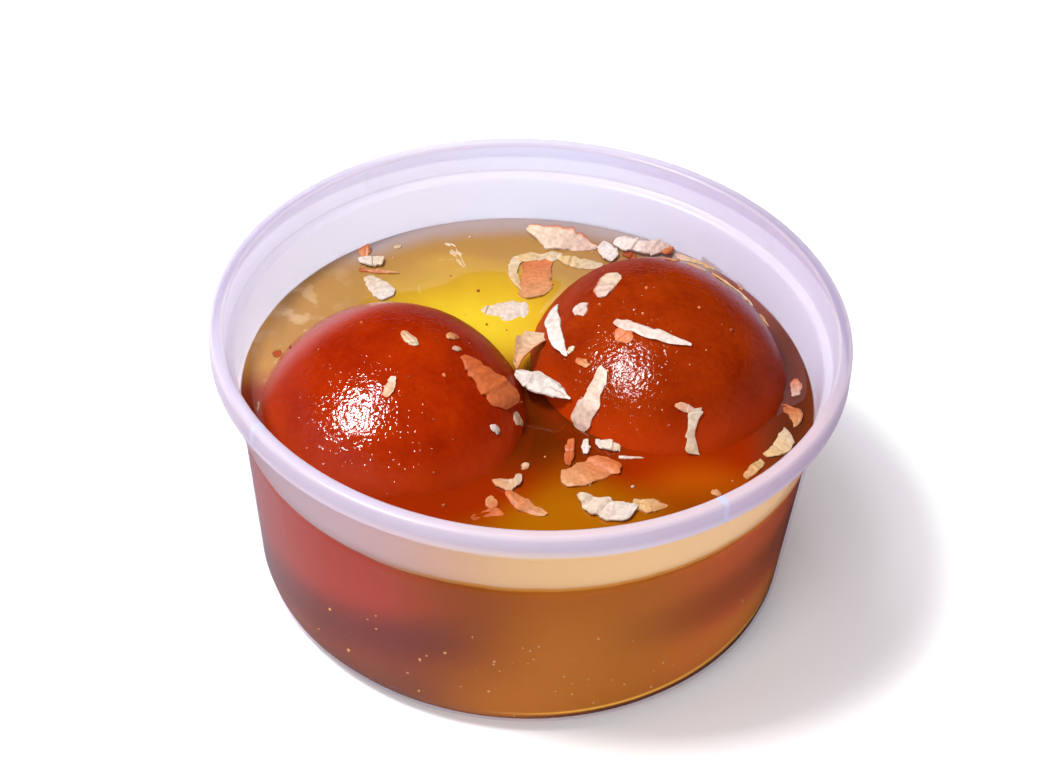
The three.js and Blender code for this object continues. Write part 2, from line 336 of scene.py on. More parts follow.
# Painted light and shade on the skirt: lighter along its lower edge in front, darker above that, and darker
# at the right behind.
skirt_tone = blend(plastic, fade_mm(plastic, z, 44.6, 43.5), "#DCD2DC", "#F0EAF2")
skirt_tone = blend(plastic, in_front, blend(plastic, right_side, plain, "#D6CADE"), skirt_tone)
skirt = fade_mm(plastic, from_axis, RIM_RADIUS - 0.5, RIM_RADIUS - 0.2)
plain = blend(plastic, skirt, plain, skirt_tone)
lip_top = fade_mm(plastic, z, TUB_HEIGHT - 0.7, TUB_HEIGHT - 0.3)
plain = blend(plastic, lip_top, plain, lip_tone)
from_rib = []
for turn in RIB_ANGLES[2:]:
    rib_at = (STEP_RADIUS * math.cos(turn), STEP_RADIUS * math.sin(turn), 0)
    from_rib.append(from_oval(plastic, flat, rib_at, (RIB_MARK, RIB_WIDTH / 2, 1), turn))
rib = fade(plastic, math_node(plastic, "MINIMUM", *from_rib), 1.0, 0.6)
rib = product(plastic, rib, fade_mm(plastic, z, 39.6, 41))
plain = blend(plastic, rib, plain, "#E2E8F8")

# Partly a blotchy film of syrup, partly painted warm light from the syrup: only in front, weaker and pinker
# at the left.
low = math_node(plastic, "MULTIPLY_ADD", right_side, 3 * MM, z)
blotch = math_node(plastic, "MULTIPLY_ADD", noise(plastic, place, 4.0, 3.0), 9 * MM, z)
film_and_glow = product(
    plastic,
    fade_mm(plastic, low, 44.8, 42.6),
    in_front,
    fade_mm(plastic, x, -38, -4, 0.3, 1.0),
    fade_mm(plastic, blotch, 47.2, 45.4, 0.55, 1.0),
    math_node(plastic, "SUBTRACT", 1.0, rib),
)
film_left = fade_mm(plastic, x, 4, -28)
glow_tint = blend(plastic, right_side, "#FBDC9C", "#FBE2BC")
tint = blend(plastic, film_and_glow, plain, blend(plastic, film_left, glow_tint, "#E8BCB6"))
face = blend(plastic, film_and_glow, plain, blend(plastic, film_left, "#F2DEB8", "#ECC8CA"))
# Painted light: a golden line along the syrup's edge on the wall in front.
waterline_glow = fade_mm(plastic, apart(plastic, line, SYRUP_LEVEL + 0.4), 0.9, 0.3)
waterline_glow = product(plastic, waterline_glow, in_front, fade_mm(plastic, x, -30, -6))
tint = blend(plastic, waterline_glow, tint, "#F0B45C")
face = blend(plastic, waterline_glow, face, "#E4A44C")
# Painted shade, pinked by the right ball's red: low on the wall at the front right.
right_red_shade = product(plastic, fade_mm(plastic, x, 36, 45), fade_mm(plastic, y, 6, -8))
right_red_shade = product(plastic, right_red_shade, fade_mm(plastic, z, 41, 36))
face = blend(plastic, right_red_shade, face, "#C49A94")

texture = noise(plastic, place, 1.4, 3.0)
relief = add(plastic, "Bump", {"Height": texture, "Distance": 0.02 * MM, "Strength": 0.4}).outputs[0]
shine = {"Base Color": face, "Roughness": 0.3, "IOR": 1.49, "Normal": relief}
surface = add(plastic, "BsdfPrincipled", shine).outputs[0]
through = add(plastic, "BsdfTranslucent", {"Color": tint, "Normal": relief}).outputs[0]
milk = add(plastic, "MixShader", {0: 0.6, 1: surface, 2: through}).outputs[0]
clear = add(plastic, "BsdfTransparent", {"Color": "#FBF9FE"}).outputs[0]
wall = add(plastic, "MixShader", {0: cloud, 1: clear, 2: milk}).outputs[0]
plastic.node_tree.links.new(wall, end.inputs["Surface"])

tub = mesh_piece("takeaway_tub", *tub_surface())
tub.data.materials.append(plastic)
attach(tub, "root")
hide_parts("cup")

# ---------------------------------------------------------------- gulab jamuns
# Balls of milk dough, rolled by hand, fried deep brown and soaked until they float low in syrup.
# Each is a little off a true oval, with a fine-pored skin that a film of syrup makes glossy.

LEFT_BALL = {"centre": (-20.5, -5.6, 27.0), "half_axes": (21.3, 23.0, 19.3), "yaw": 19, "phase": 0.4}
RIGHT_BALL = {"centre": (20.2, 8.0, 27.4), "half_axes": (21.1, 23.8, 19.1), "yaw": 13, "phase": 2.1}
BALLS = (LEFT_BALL, RIGHT_BALL)
BALL_SWELL = 0.011
SKIN_RELIEF = ((7.0, 0.05), (2.6, 0.022), (1.3, 0.012))  # wave lengths and their heights
GLINT_LEFT = (-24.2, -19.4, 41.9)  # where the film of syrup is thickest and glints
GLINT_RIGHT = (15.3, -2.4, 43.8)


def ball_radius(ball, out):
    """Distance from a ball's centre to its skin along unit directions: that of a turned oval, with
    slow waves of about a hundredth of it."""
    yaw = math.radians(ball["yaw"])
    dx, dy, dz = np.moveaxis(out, -1, 0)
    x = dx * math.cos(yaw) + dy * math.sin(yaw)
    y = dy * math.cos(yaw) - dx * math.sin(yaw)
    a, b, c = ball["half_axes"]
    oval = 1 / np.sqrt((x / a) ** 2 + (y / b) ** 2 + (dz / c) ** 2)
    p = ball["phase"]
    waves = np.sin(3.1 * dx + p) * np.cos(2.6 * dy - p) + 0.6 * np.sin(4.3 * dz + 2 * p)
    return oval * (1 + BALL_SWELL * waves)


def lumps(points, seed, size, count=24):
    """Soft random relief from -1 to 1 in three dimensions: the mean of plane waves of one length in
    random directions."""
    random = np.random.default_rng(seed)
    way = random.normal(size=(count, 3))
    way *= 2 * np.pi / size / np.linalg.norm(way, axis=1, keepdims=True)
    phase = random.uniform(0, 2 * np.pi, count)
    total = np.zeros(points.shape[:-1])
    for one, start in zip(way, phase):
        total += np.sin(points @ one + start)
    return total / math.sqrt(count)


def ball_surface(ball, rows, columns, grown=0.0, skin=1.0):
    """Radius along each direction of a latitude and longitude grid, grown by a margin, plus the
    fried skin's relief."""
    down = np.linspace(0, np.pi, rows)[:, None]
    round_ = np.linspace(0, 2 * np.pi, columns, endpoint=False)[None, :]
    out = np.stack(
        [np.sin(down) * np.cos(round_), np.sin(down) * np.sin(round_), np.cos(down) * np.ones_like(round_)],
        axis=2,
    )
    seed = int(10 * ball["phase"])
    radius = ball_radius(ball, out) + grown
    spot = out * radius[..., None]
    relief = sum(high * lumps(spot, seed + i, wave) for i, (wave, high) in enumerate(SKIN_RELIEF))
    radius = radius + skin * relief
    points = out * radius[..., None] + np.array(ball["centre"])
    return points.reshape(-1, 3), grid_faces(rows, columns)


# Fried milk dough under a film of syrup: deep orange-red, the right ball browner, and painted
# brighter near and below the level, as if lit through the syrup. Pores and blisters of half a
# millimetre break the film's wet gloss into glints. On the side that faces the far wall the film is
# smoother, and a painted lilac fringe there stands for its reflection of the milky plastic.
dough, end = new_material("fried_milk_dough_soaked")
place, x, y, z = coordinates(dough)
on_right = fade_mm(dough, x, -1, 2)
tone = blend_values(dough, 0.3, noise(dough, place, 8.3, 3.0), noise(dough, place, 0.8, 3.0))
skin = ramp(dough, tone, [(0.33, "#7A1702"), (0.68, "#922602")])
browner = ramp(dough, tone, [(0.33, "#6C1902"), (0.68, "#882A04")])
skin = blend(dough, on_right, skin, browner)
# Painted light: the skin is brighter towards the level.
skin = blend(dough, fade_mm(dough, z, 40, 33.6, 0.0, 0.55), skin, "#AC3303")
outwards = math_node(dough, "MULTIPLY", math_node(dough, "ABSOLUTE", x), 0.6)
outwards = math_node(dough, "MULTIPLY_ADD", y, 0.8, outwards)
outwards = math_node(dough, "ADD", outwards, blend_values(dough, on_right, 10 * MM, 0.0))
far_side = fade_mm(dough, outwards, 25, 33)
# Painted reflection: a lilac fringe of the milky wall on the side that faces it.
lilac_reflection = product(dough, fade_mm(dough, outwards, 25.5, 31, 0.0, 0.62), fade_mm(dough, outwards, 38, 33))
skin = blend(dough, lilac_reflection, skin, blend(dough, on_right, "#A45A54", "#8E4E54"))
# Painted light: brightest below the level, standing in for light that reaches it through the syrup.
soaked_and_lit = blend(dough, fade_mm(dough, z, 33.6, 31), skin, "#E04A06")

wrinkles = noise(dough, place, 0.75, 2.0)
cells = add(dough, "TexVoronoi", {"Vector": place, "Scale": 1 / (0.9 * MM)})
blister = fade(dough, cells.outputs["Distance"], 0.34, 0.0)
chosen = add(dough, "SeparateColor", {0: cells.outputs["Color"]}).outputs["Red"]
blister = product(dough, blister, fade(dough, chosen, 0.35, 0.75))
pores = math_node(dough, "MULTIPLY_ADD", blister, 0.7, wrinkles)
rough = math_node(dough, "MULTIPLY_ADD", far_side, -0.6, 1.0)
relief = add(dough, "Bump", {"Height": pores, "Distance": 0.2 * MM, "Strength": rough}).outputs[0]
wet_left = fade_mm(dough, distance(dough, place, GLINT_LEFT), 14, 6, 0.28, 1.0)
wet_right = fade_mm(dough, distance(dough, place, GLINT_RIGHT), 10, 4, 0.22, 0.42)
wet = math_node(dough, "MAXIMUM", blend_values(dough, on_right, wet_left, wet_right), far_side)
crust = {"Base Color": soaked_and_lit, "Roughness": 0.5, "IOR": 1.45, "Specular IOR Level": 0.0}
crust.update({"Coat Weight": wet, "Coat Roughness": 0.06, "Coat IOR": 1.45, "Coat Normal": relief})
fried = add(dough, "BsdfPrincipled", crust).outputs[0]
dough.node_tree.links.new(fried, end.inputs["Surface"])

for side, ball in (("left", LEFT_BALL), ("right", RIGHT_BALL)):
    jamun = mesh_piece("gulab_jamun_" + side, *ball_surface(ball, 200, 400))
    jamun.data.materials.append(dough)
    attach(jamun, "root")
    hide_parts("jamun_" + side)

# ---------------------------------------------------------------- sugar syrup
# Sugar boiled with water, saffron and cardamom: clear, thick and yellow, amber where it is deep. It
# fills the tub to about two thirds and creeps up wherever it wets the wall or a ball.

INTO_WALL = 0.15  # how far it reaches into what holds it or stands in it, so that no gap shows
WALL_CREEP = 0.3
BALL_CREEP = 0.4
CREEP_REACH = 1.1  # how far from a wall the creep has fallen to a third
HEART = (-8.5, 14, 33)  # where light pools behind the balls and the syrup is yellowest


def off_ball(ball, x, y, z):
    """Rough distance in plan from points to a ball's outline at their height: how much the oval
    must grow to reach them, times its size there."""
    yaw = math.radians(ball["yaw"])
    cx, cy, cz = ball["centre"]
    a, b, c = ball["half_axes"]
    level = math.sqrt(1 - ((z - cz) / c) ** 2)
    east = ((x - cx) * math.cos(yaw) + (y - cy) * math.sin(yaw)) / (a * level)
    north = ((y - cy) * math.cos(yaw) - (x - cx) * math.sin(yaw)) / (b * level)
    return (np.hypot(east, north) - 1) * (a + b) / 2 * level


def syrup_surface():
    """The inside of the tub, turned round, closed by a level top whose height adds the creep, an
    exponential of the distance to the wall and to each ball, and slight ripples."""
    depth = WALL - INTO_WALL
    foot = SHOULDER_RADIUS + INTO_WALL - TAPER * (SHOULDER - depth)
    wall_top = SYRUP_LEVEL + WALL_CREEP
    ring, middle = floor_slope(depth)
    below = rounded(
        [
            (0, FOOT_LIFT + depth, 0),
            (*middle, 0.8),
            (*ring, 0.8),
            (foot, depth, CORNER_RADIUS - depth),
            (inside_radius(wall_top) + INTO_WALL, wall_top, 0),
        ]
    )
    edge = below[-1, 0]
    inward = np.linspace(0, 1, 150)[1:]
    top = np.column_stack([edge * (1 - inward**1.25), np.full(len(inward), SYRUP_LEVEL)])
    angle = np.linspace(0, 2 * np.pi, 300, endpoint=False)
    profile = np.vstack([below, top])
    x = profile[:, :1] * np.cos(angle)
    y = profile[:, :1] * np.sin(angle)
    z = np.tile(profile[:, 1:], len(angle))
    creep = WALL_CREEP * np.exp(-(edge - profile[:, :1]) / CREEP_REACH)
    rise = BALL_CREEP * sum(
        np.exp(-np.clip(off_ball(ball, x, y, SYRUP_LEVEL), 0, None) / CREEP_REACH)
        for ball in BALLS
    )
    flat = np.stack([x, y, np.zeros_like(x)], axis=2)
    rise = rise + 0.04 * lumps(flat, 5, 11.0)
    creep = creep + rise * (1 - np.exp(-(edge - profile[:, :1]) / INTO_WALL))
    is_top = (np.arange(len(profile)) >= len(below))[:, None]
    z = np.where(is_top, SYRUP_LEVEL + creep, z)
    return np.stack([x, y, z], axis=2).reshape(-1, 3), grid_faces(len(profile), len(angle))


# Saffron sugar syrup, boiled thick: it refracts like strong sugar water and takes out blue within a
# few centimetres, and what is suspended in it scatters light. Much of its colour is painted light and
# shade. Behind the balls a painted pool of light glows yellow and pales to gold, with streaks at the
# left, painted light along the left wall, painted red light from the left ball, a painted lilac grey
# reflection of the back wall and painted shade at the right. In front it is clear amber, with painted
# red light from the balls beside them and painted shade between them and at the right end. Through the
# wall the side shows the balls as a painted red glow with painted bands of shade under them, and a
# painted bright line where the corner at the front right gathers light, with painted shade below it.
liquid, end = new_material("saffron_sugar_syrup_boiled")
place, x, y, z = coordinates(liquid)
flat = add(liquid, "CombineXYZ", {0: x, 1: y}).outputs[0]
from_axis = distance(liquid, flat, (0, 0, 0))
from_ball = [
    from_oval(liquid, place, ball["centre"], ball["half_axes"], math.radians(ball["yaw"])) for ball in BALLS
]
nearest = math_node(liquid, "MINIMUM", *from_ball)
at_left = fade_mm(liquid, x, -26, -43)
at_right = fade_mm(liquid, x, 14, 38)

cloudy = math_node(liquid, "MULTIPLY_ADD", noise(liquid, place, 9.0, 4.0), 9 * MM, -4.5 * MM)
# Painted light: yellow pooled behind the balls, paling to gold away from the heart.
from_heart = math_node(liquid, "ADD", distance(liquid, place, HEART), cloudy)
glow = add(liquid, "MapRange", {"Value": from_heart, "From Min": 2 * MM, "From Max": 36 * MM}).outputs[0]
behind = ramp(liquid, glow, [(0.0, "#EACA30"), (0.28, "#D4A828"), (0.55, "#AE8034"), (1.0, "#9C6C3A")])
to_wall = math_node(liquid, "MULTIPLY_ADD", cloudy, 0.35, from_axis)
# Painted reflection: lilac grey where the back wall mirrors in the syrup.
back_wall_reflection = product(liquid, fade_mm(liquid, to_wall, 38.5, 44), fade_mm(liquid, y, 24, 36))
behind = blend(liquid, back_wall_reflection, behind, "#A89490")
behind = blend(liquid, at_left, behind, "#B08246")
# Painted light: lighter along the left wall, against the shadow the wall casts there.
behind = blend(liquid, fade_mm(liquid, x, -39, -43), behind, "#E4A858")
streak = fade(liquid, noise(liquid, place, 3.4, 4.0), 0.5, 0.68, 0.0, 0.5)
behind = blend(liquid, product(liquid, streak, at_left), behind, "#E8CCA4")
# Painted red light from the left ball, beside it at the left.
left_ball_glow = product(liquid, at_left, fade_mm(liquid, y, 3, -5), fade(liquid, nearest, 1.32, 1.12))
behind = blend(liquid, left_ball_glow, behind, "#AE4A30")
# Painted shade: darker at the right, behind the right ball.
behind = blend(liquid, fade_mm(liquid, x, 26, 33), behind, "#84463C")

# In front: painted red light from the balls beside them, and painted shade between the balls and at the
# right end.
by_ball = fade(liquid, nearest, 1.5, 1.14)
between = fade_mm(liquid, distance(liquid, place, (2, -6, SYRUP_LEVEL)), 20, 6)
right_end_shade = fade_mm(liquid, x, 33, 40)
front_right = fade_mm(liquid, distance(liquid, place, (27, -25, SYRUP_LEVEL)), 13, 4)
open_front = fade_mm(liquid, distance(liquid, place, (8, -35, SYRUP_LEVEL)), 20, 7)
blush = blend(liquid, between, "#902602", "#8E3806")
blush = blend(liquid, right_end_shade, blush, "#8E4426")
blush = blend(liquid, front_right, blush, "#AA4A04")
front = blend(liquid, by_ball, blend(liquid, open_front, "#A44A03", "#C67406"), blush)
back_half = fade_mm(liquid, math_node(liquid, "MULTIPLY_ADD", x, -0.35, y), 0, 13)
top = blend(liquid, back_half, front, behind)

# Painted light: a glow low at the front.
low_glow = fade_mm(liquid, distance(liquid, place, (14, -40, 6)), 34, 10)
# Painted shadow under the left ball.
under_left_shadow = fade_mm(liquid, distance(liquid, place, (-22, -34, 8)), 22, 6, 0.0, 0.75)
side = blend(liquid, low_glow, "#BE6618", "#D68028")
side = blend(liquid, under_left_shadow, side, "#804636")
not_low = fade_mm(liquid, z, 5, 18)
# Painted red glow of the balls through the syrup, fainter low down.
ball_shows = fade(liquid, nearest, 1.9, 1.4)
ball_shows = product(liquid, ball_shows, blend_values(liquid, not_low, 0.3, 1.0))
side = blend(liquid, ball_shows, side, "#C44C38")
gap_shade = product(liquid, fade_mm(liquid, apart(liquid, x, -7), 13, 1, 0.0, 0.4), not_low)
side = blend(liquid, gap_shade, side, "#823C22")
# Painted shade: a slanting dark band at the left, under the left ball.
left_shade_band = apart(liquid, math_node(liquid, "MULTIPLY_ADD", x, -0.35, z), 22.5)
left_shade_band = product(liquid, fade_mm(liquid, left_shade_band, 8.5, 0.5, 0.0, 0.68), fade_mm(liquid, x, -1, -15))
side = blend(liquid, left_shade_band, side, "#6E3B34")
# Painted light: redder and brighter at the right, brightest low down.
side = blend(liquid, at_right, side, "#D06034")
side = blend(liquid, product(liquid, fade_mm(liquid, z, 16, 10), at_right), side, "#E88430")
# Painted shade: a dark band at mid height at the right, under the right ball.
right_shade_band = fade_mm(liquid, apart(liquid, z, 20.5), 7.5, 1, 0.0, 0.6)
side = blend(liquid, product(liquid, right_shade_band, fade_mm(liquid, x, 8, 30)), side, "#8C4620")
corner = product(liquid, fade_mm(liquid, x, -8, 14), fade_mm(liquid, y, -3, -14))
above_foot = math_node(liquid, "MULTIPLY_ADD", y, -0.0875, z)
corner_line = product(liquid, fade_mm(liquid, apart(liquid, above_foot, 7.7), 0.5, 0.15), corner)
# Painted light: a bright line along the corner at the front right.
side = blend(liquid, corner_line, side, "#FFC24A")
# Painted shade below that line.
side = blend(liquid, product(liquid, fade_mm(liquid, above_foot, 7.4, 6.8), corner), side, "#7C4220")

low, high = (SYRUP_LEVEL - 1.4) * MM, (SYRUP_LEVEL - 0.1) * MM
up = add(liquid, "MapRange", {"Value": z, "From Min": low, "From Max": high}).outputs[0]
amber = blend(liquid, up, side, top)
shaded = math_node(liquid, "MAXIMUM", between, right_end_shade)
clear_front = blend_values(liquid, by_ball, 0.5, blend_values(liquid, shaded, 0.8, 0.3))
haze_top = blend_values(liquid, back_half, clear_front, blend_values(liquid, at_left, 0.72, 0.88))
haze_side = blend_values(liquid, math_node(liquid, "MAXIMUM", at_right, corner_line), 0.62, 0.95)
haze = blend_values(liquid, up, haze_side, haze_top)
clarity = math_node(liquid, "SUBTRACT", 1.0, haze)
wet_syrup = {"Base Color": amber, "Roughness": 0.03, "IOR": 1.46, "Transmission Weight": clarity}
body = add(liquid, "BsdfPrincipled", wet_syrup).outputs[0]
tint = add(liquid, "VolumeAbsorption", {"Color": (0.97, 0.75, 0.10, 1), "Density": 25.0}).outputs[0]
liquid.node_tree.links.new(body, end.inputs["Surface"])
liquid.node_tree.links.new(tint, end.inputs["Volume"])

syrup = mesh_piece("sugar_syrup", *syrup_surface())
syrup.data.materials.append(liquid)
for ball in BALLS:
    cutter = mesh_piece("cutter", *ball_surface(ball, 60, 120, grown=-INTO_WALL, skin=0.0))
    cut = syrup.modifiers.new("cut", "BOOLEAN")
    cut.operation = "DIFFERENCE"
    cut.solver = "EXACT"
    cut.object = cutter
    bpy.context.view_layer.objects.active = syrup
    bpy.ops.object.modifier_apply(modifier=cut.name)
    bpy.data.objects.remove(cutter)
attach(syrup, "root")
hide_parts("syrup")

# ---------------------------------------------------------------- almond flakes
# Blanched and unblanched almonds cut into slivers with a knife: cream flesh, brown skin on an edge,
# stained by syrup. They lie where they fell: stuck to a ball, bridging the gap between the two, or
# afloat. Each is a thin plate with jagged edges and fibres along it.

WHITE, CREAM, PINKISH, HONEY = "#C8BAB2", "#C4AE94", "#BC9C90", "#BE9C6A"
TAN, ORANGE, SKIN, RUST = "#BC8458", "#BA6234", "#A4481A", "#84361A"
GREY = "#C0AE9C"


def flake(at, turn, length, widths, colours, skin=0, **bends):
    """One flake: where it lies, its turn in degrees from due east, its length, its widths at even
    steps along it, its colours from end to end, the side that kept its skin, and how it bends or
    leans. It lies at (azimuth, height) in degrees on a ball, (x, y) afloat or (x, y, z) in the gap."""
    shape = {"turn": turn, "length": length, "widths": widths, **bends}
    return {"at": at, "colours": colours, "skin": skin, "shape": shape}


LEFT_FLAKES = [
    flake((3, 84), 35, 3.8, (0.9, 1.9, 1.5, 0.7), (CREAM, TAN)),
    flake((20, 63), -75, 2.2, (1.0, 1.7, 0.9), (TAN, ORANGE)),
    flake((2, 62), -60, 1.6, (0.5, 0.9, 0.5), (PINKISH, TAN)),
    flake((-91, 62), 74, 3.5, (0.7, 1.4, 1.2, 0.8), (TAN, GREY), bend=0.1),
    flake((-13, 45), 80, 10.8, (3.0, 4.9, 4.5, 3.4, 2.4, 1.0), (ORANGE, SKIN), bend=-0.12, lean=-0.35),
    flake((-14, 23), -74, 2.8, (1.4, 2.0, 0.7), (CREAM, TAN)),
    flake((-32, 30), -45, 1.9, (0.8, 1.3, 0.8), (WHITE, WHITE)),
]
RIGHT_FLAKES = [
    flake((154, 61), 9, 6.6, (2.2, 3.7, 3.8, 3.0, 1.8), (CREAM, PINKISH), skin=-1),
    flake((180, 51), 26, 3.2, (1.4, 2.7, 1.3), (WHITE, PINKISH)),
    flake((-103, 66), -8, 12.8, (1.3, 1.7, 1.8, 1.5, 0.6), (PINKISH, WHITE), bend=0.04, lift=0.4),
    flake((-128, 60), -19, 3.4, (1.4, 2.5, 1.5), (ORANGE, ORANGE)),
    flake((-175, 38), 2, 13.6, (0.4, 1.5, 2.1, 2.0, 1.4, 0.3), (WHITE, WHITE), bend=0.03, lean=-0.5),
    flake((-125, 28), -90, 11.4, (2.0, 2.7, 2.8, 3.4, 3.5, 1.3), (GREY, PINKISH), bend=-0.04),
    flake((-76, 24), -100, 6.8, (2.6, 1.5, 1.3, 1.7, 2.6), (GREY, CREAM), bend=0.08),
    flake((-79, 33), -22, 3.0, (0.7, 1.3, 1.2), (TAN, PINKISH)),
    flake((-80, 12), -40, 1.7, (0.8, 1.4, 0.9), (CREAM, HONEY)),
    flake((50, 42), -4, 4.4, (0.4, 0.9, 0.7, 0.3), (HONEY, TAN)),
    flake((38, 35), 6, 5.2, (0.4, 0.8, 1.0, 0.4), (CREAM, HONEY), bend=0.05),
    flake((24, 27), -8, 3.6, (0.3, 0.8, 0.5), (TAN, HONEY)),
    flake((66, 47), 12, 3.0, (0.5, 1.1, 0.6), (PINKISH, TAN)),
    flake((84, 49), -10, 2.2, (0.5, 1.0, 0.5), (TAN, ORANGE)),
    flake((-52, 10), -63, 3.7, (0.4, 0.9, 0.5), (TAN, ORANGE)),
    flake((-153, 40), -80, 1.4, (0.6, 1.1, 0.6), (CREAM, CREAM)),
    flake((-140, 40), 5, 2.6, (0.6, 1.2, 0.8), (ORANGE, TAN)),
]
GAP_FLAKES = [
    flake((2.2, -3.2, 36.4), -33, 10.4, (1.6, 3.8, 4.6, 3.6, 2.2, 0.4), (WHITE, WHITE)),
    flake(
        (0.3, 5.4, 36.6), 46, 9.2, (1.6, 3.2, 3.6, 3.0, 1.6), (TAN, CREAM),
        bend=-0.22, cup=0.5, pitch=0.15, skin=-1,
    ),
]
FLOATING_FLAKES = [
    flake(
        (4.3, 38.9), -20, 12.6, (1.6, 2.8, 4.6, 4.4, 2.8, 0.8), (CREAM, PINKISH),
        bend=0.08, lean=0.35, skin=1,
    ),
    flake((0.5, 28.0), -90, 9.8, (5.2, 5.2, 5.2, 5.4, 5.0, 3.2), (ORANGE, TAN), lift=0.15),
    flake((-2.7, 29.5), -86, 9.0, (2.2, 1.5, 1.5, 1.0), (CREAM, HONEY), bend=0.15),
    flake((0.9, 34.0), 9, 7.4, (1.8, 2.2, 1.4, 2.4, 1.4), (HONEY, CREAM)),
    flake((7.6, 33.2), -12, 7.4, (1.6, 2.8, 2.4, 1.0), (HONEY, CREAM), bend=0.1),
    flake((-4.3, 19.6), 5, 7.8, (0.7, 3.4, 5.4, 5.6, 3.4), (CREAM, WHITE), lift=-0.1),
    flake((-12.8, 33.4), -66, 7.2, (2.2, 1.8, 1.6, 0.7), (CREAM, HONEY), lift=-0.1),
    flake((-14.6, 32.2), 8, 2.8, (0.3, 0.6, 0.6), (HONEY, HONEY), lift=-0.1),
    flake((-26.8, 30.1), 1, 4.0, (1.5, 2.2, 2.3), (WHITE, CREAM), lift=0.5),
    flake((-25.3, 27.9), -2, 6.6, (1.2, 0.7, 1.3, 0.5, 0.3), (SKIN, TAN)),
    flake((-28.0, 32.4), -82, 2.8, (2.0, 1.8, 1.0), (ORANGE, TAN), pitch=-0.5),
    flake((-25.2, 23.7), -55, 6.8, (1.6, 2.4, 3.6, 3.8, 2.6), (CREAM, WHITE)),
    flake((-17.8, 23.9), -75, 4.9, (0.3, 0.7, 0.8, 0.5), (HONEY, HONEY), bend=0.3, lift=-0.2),
    flake((-22.8, 34.9), 20, 1.2, (0.5, 0.8, 0.5), (HONEY, CREAM)),
    flake((12.2, 36.2), -54, 4.4, (1.8, 3.2, 2.4), (WHITE, WHITE), lift=0.5),
    flake((15.8, 35.9), -28, 2.1, (1.4, 2.2, 1.2), (RUST, SKIN)),
    flake(
        (17.6, 37.6), -10, 9.0, (1.6, 3.0, 2.2, 3.2, 1.6), (WHITE, PINKISH),
        bend=0.1, lift=0.7, lean=0.3,
    ),
    flake((22.0, 37.0), -54, 2.2, (1.5, 2.5, 1.6), (TAN, SKIN), lift=0.9),
    flake((25.6, 35.6), -25, 5.4, (0.8, 1.5, 1.2, 0.6), (PINKISH, HONEY), bend=0.06),
    flake((29.2, 34.2), -50, 4.4, (1.0, 1.5, 0.9), (TAN, HONEY), bend=0.12),
    flake((34.1, 28.9), -72, 1.9, (0.5, 1.0, 0.6), (TAN, TAN)),
    flake((41.9, 3.6), -91, 4.2, (1.1, 1.9, 1.4), (ORANGE, PINKISH)),
    flake((41.0, -3.2), -70, 5.4, (1.6, 2.5, 2.2, 1.3), (SKIN, TAN), bend=-0.2),
    flake((38.8, -10.2), -120, 7.2, (1.8, 3.0, 2.6, 1.2), (CREAM, HONEY), bend=-0.2),
    flake((34.6, -16.4), -126, 4.8, (1.2, 1.9, 0.9), (HONEY, TAN)),
    flake((28.8, -22.2), -26, 1.6, (0.8, 1.3, 0.7), (TAN, TAN)),
    flake((12.2, -26.3), -22, 9.0, (0.8, 3.4, 4.2, 5.0, 3.8), (CREAM, WHITE), bend=0.12, lift=0.4),
    flake((18.9, -25.6), -6, 5.2, (2.0, 2.4, 3.2, 1.6, 0.8), (HONEY, TAN), bend=0.1),
    flake((-2.2, -22.3), 20, 4.4, (1.5, 2.8, 2.0, 1.8), (TAN, CREAM), bend=0.2, lift=0.4),
    flake((0.3, -26.7), -38, 7.8, (1.4, 2.0, 2.4, 2.2, 1.0), (ORANGE, TAN), bend=0.1),
    flake((-4.6, -26.9), -60, 2.4, (1.1, 1.8, 1.2), (TAN, ORANGE)),
    flake((-5.3, -29.3), 27, 4.6, (1.4, 2.6, 2.2), (SKIN, ORANGE), lift=-0.2),
    flake((0.1, -18.3), 80, 1.6, (0.6, 1.1, 0.7), (TAN, CREAM)),
    flake((9.6, -19.0), 40, 9.4, (1.4, 4.4, 4.4, 5.0, 5.0, 3.4), (TAN, ORANGE), lift=0.3),
    flake((6.7, -14.7), -93, 6.0, (0.9, 1.4, 1.5, 0.7), (ORANGE, SKIN), lift=0.3),
    flake((9.1, -13.4), -89, 3.2, (0.8, 1.3, 0.7), (WHITE, WHITE), lift=0.4),
    flake((12.5, -12.9), -18, 4.0, (1.4, 2.2, 1.6), (WHITE, CREAM), lift=0.5),
    flake((16.1, -15.1), 1, 3.8, (0.6, 0.6, 0.3), (WHITE, PINKISH)),
    flake((-41.0, -7.0), -93, 3.8, (0.6, 1.1, 0.6), (CREAM, HONEY)),
    flake((-39.6, 5.1), -37, 1.8, (0.9, 1.6, 0.9), (SKIN, SKIN)),
]
FLAKE_STATIONS = 30
FLAKE_THICKNESS = 0.6
CRUMBS = 22  # on each ball, and twice as many on the syrup
CRUMB_RADIUS = 42  # how far from the axis they float
# A flake's section: how far across it, and how far above its middle, each in halves.
FLAKE_SECTION = np.array(
    [(-1, -0.5), (-0.5, -1), (0.5, -1), (1, -0.5), (1, 0.5)]
    + [(0.62, 1.05), (0.2, 0.7), (-0.25, 1.1), (-0.7, 0.75), (-1, 0.45)]
)


